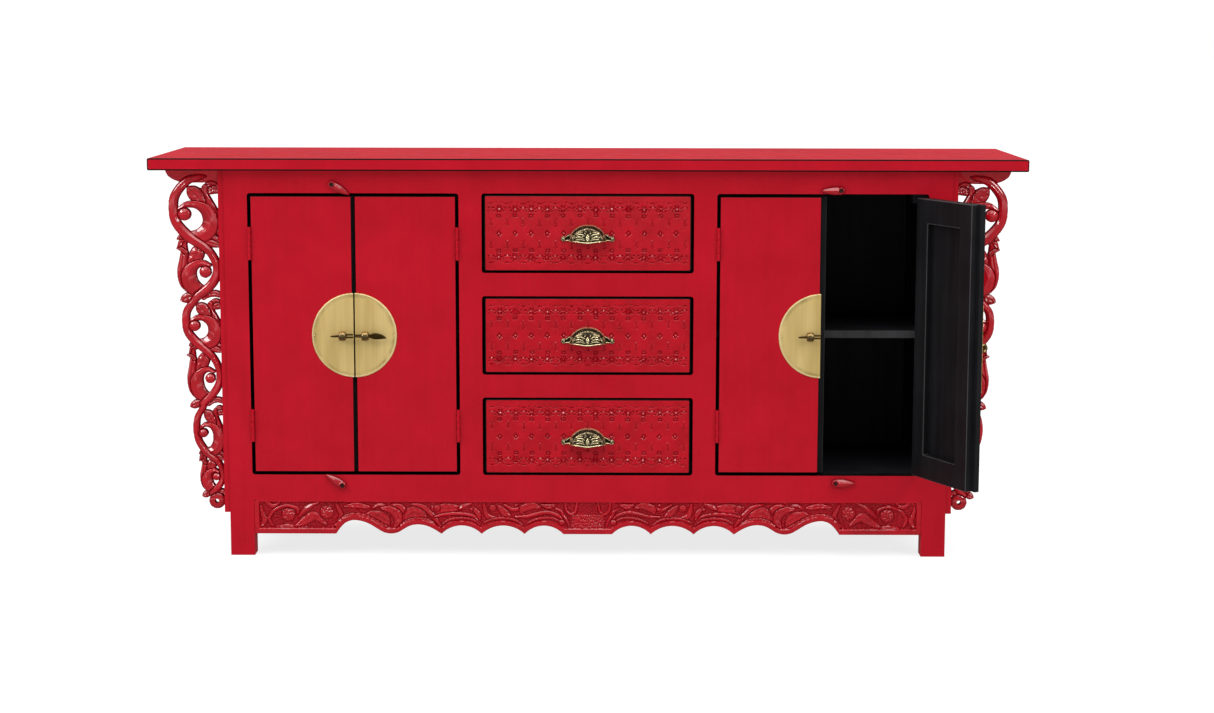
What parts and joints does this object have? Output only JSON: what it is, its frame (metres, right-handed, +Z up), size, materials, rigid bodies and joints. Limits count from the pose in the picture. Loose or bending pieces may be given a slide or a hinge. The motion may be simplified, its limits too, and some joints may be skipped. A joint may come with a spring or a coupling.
{
  "type": "sideboard",
  "caption": "Low lacquered sideboard with lapped door pairs on round brass lock plates, a stack of drawers, pierced scroll brackets and a scalloped carved apron on square feet.",
  "frame": {"origin": "on the floor, at the middle of the space the piece takes up with its right-hand door standing open; the closed body is centred on x, and its front plane lies 96.2 mm in front of the origin", "axes": "+Z up, +X to the right as one faces the front, -Y out of the front of the doors and drawers"},
  "size_m": [1.8, 0.5876, 0.832],
  "materials": {
    "red_lacquer": "glossy red lacquer, rubbed dark at the edges",
    "carved_lacquer": "glossy red lacquer over carving, dark in the hollows",
    "black_lacquer": "satin black lacquer",
    "plain_wood": "unfinished wood",
    "brushed_brass": "brushed, with a brighter rim",
    "aged_brass": "aged, dark in the hollows",
    "antique_brass": "dark patina with rubbed highlights",
    "dark_bronze": "dark bronze patina",
    "painted_hinge": "steel painted over with the red lacquer",
    "steel_screw": "dull steel"
  },
  "bodies": {
    "carcass": {"top_board": "red_lacquer", "post_front_left": "red_lacquer", "post_front_right": "red_lacquer", "post_back_left": "red_lacquer", "post_back_right": "red_lacquer", "side_panel_left": "red_lacquer", "side_panel_right": "red_lacquer", "rail_top": "red_lacquer", "rail_bottom": "red_lacquer", "stile_left": "red_lacquer", "stile_right": "red_lacquer", "drawer_rails": "red_lacquer", "apron": "carved_lacquer", "bracket_left": "carved_lacquer", "bracket_right": "carved_lacquer", "back_panel": "black_lacquer", "bottom_board": "black_lacquer", "partition_left": "black_lacquer", "partition_right": "black_lacquer", "shelf_left": "black_lacquer", "shelf_right": "black_lacquer", "cleats": "black_lacquer", "drawer_runners": "plain_wood", "hinge_frame_leaves": "painted_hinge", "button_screws": "steel_screw"},
    "door_1": {"door_1_board": "red_lacquer", "door_1_frame": "black_lacquer", "door_1_plate": "brushed_brass", "door_1_eye": "aged_brass", "door_1_hinge_leaves": "painted_hinge"},
    "door_2": {"door_2_board": "red_lacquer", "door_2_frame": "black_lacquer", "door_2_plate": "brushed_brass", "door_2_eye": "aged_brass", "door_2_hinge_leaves": "painted_hinge"},
    "door_3": {"door_3_board": "red_lacquer", "door_3_frame": "black_lacquer", "door_3_plate": "brushed_brass", "door_3_eye": "aged_brass", "door_3_hinge_leaves": "painted_hinge"},
    "door_4": {"door_4_board": "red_lacquer", "door_4_frame": "black_lacquer", "door_4_plate": "brushed_brass", "door_4_eye": "aged_brass", "door_4_hinge_leaves": "painted_hinge"},
    "lock_pin": {"lock_pin": "dark_bronze"},
    "drawer_1": {"drawer_1_front": "carved_lacquer", "drawer_1_box": "plain_wood", "drawer_1_pull": "antique_brass"},
    "drawer_2": {"drawer_2_front": "carved_lacquer", "drawer_2_box": "plain_wood", "drawer_2_pull": "antique_brass"},
    "drawer_3": {"drawer_3_front": "carved_lacquer", "drawer_3_box": "plain_wood", "drawer_3_pull": "antique_brass"},
    "button_1": {"button_1": "red_lacquer"},
    "button_2": {"button_2": "red_lacquer"},
    "button_3": {"button_3": "red_lacquer"},
    "button_4": {"button_4": "red_lacquer"}
  },
  "joints": [
    {"name": "door_1_hinge", "type": "hinge", "parent": "carcass", "child": "door_1", "pos_m": [-0.6965, -0.09917, 0.466], "axis": [0, 0, -1], "range_deg": [0, 160]},
    {"name": "door_2_hinge", "type": "hinge", "parent": "carcass", "child": "door_2", "pos_m": [-0.269, -0.09917, 0.466], "axis": [0, 0, 1], "range_deg": [0, 95]},
    {"name": "door_3_hinge", "type": "hinge", "parent": "carcass", "child": "door_3", "pos_m": [0.269, -0.09917, 0.466], "axis": [0, 0, -1], "range_deg": [0, 95]},
    {"name": "door_4_hinge", "type": "hinge", "parent": "carcass", "child": "door_4", "pos_m": [0.6965, -0.09917, 0.466], "axis": [0, 0, 1], "range_deg": [-116, 44]},
    {"name": "lock_pin_slide", "type": "slide", "parent": "door_2", "child": "lock_pin", "axis": [1, 0, 0], "range_m": [0, 0.012]},
    {"name": "drawer_1_slide", "type": "slide", "parent": "carcass", "child": "drawer_1", "axis": [0, -1, 0], "range_m": [0, 0.28]},
    {"name": "drawer_2_slide", "type": "slide", "parent": "carcass", "child": "drawer_2", "axis": [0, -1, 0], "range_m": [0, 0.28]},
    {"name": "drawer_3_slide", "type": "slide", "parent": "carcass", "child": "drawer_3", "axis": [0, -1, 0], "range_m": [0, 0.28]},
    {"name": "button_1_turn", "type": "hinge", "parent": "carcass", "child": "button_1", "pos_m": [-0.52475, -0.10167, 0.778], "axis": [0, -1, 0], "range_deg": [-90, 30]},
    {"name": "button_2_turn", "type": "hinge", "parent": "carcass", "child": "button_2", "pos_m": [-0.51175, -0.10167, 0.15], "axis": [0, -1, 0], "range_deg": [-70, 90]},
    {"name": "button_3_turn", "type": "hinge", "parent": "carcass", "child": "button_3", "pos_m": [0.51875, -0.10167, 0.767], "axis": [0, 1, 0], "range_deg": [-120, 30]},
    {"name": "button_4_turn", "type": "hinge", "parent": "carcass", "child": "button_4", "pos_m": [0.51675, -0.10167, 0.157], "axis": [0, 1, 0], "range_deg": [-120, 90]}
  ]
}
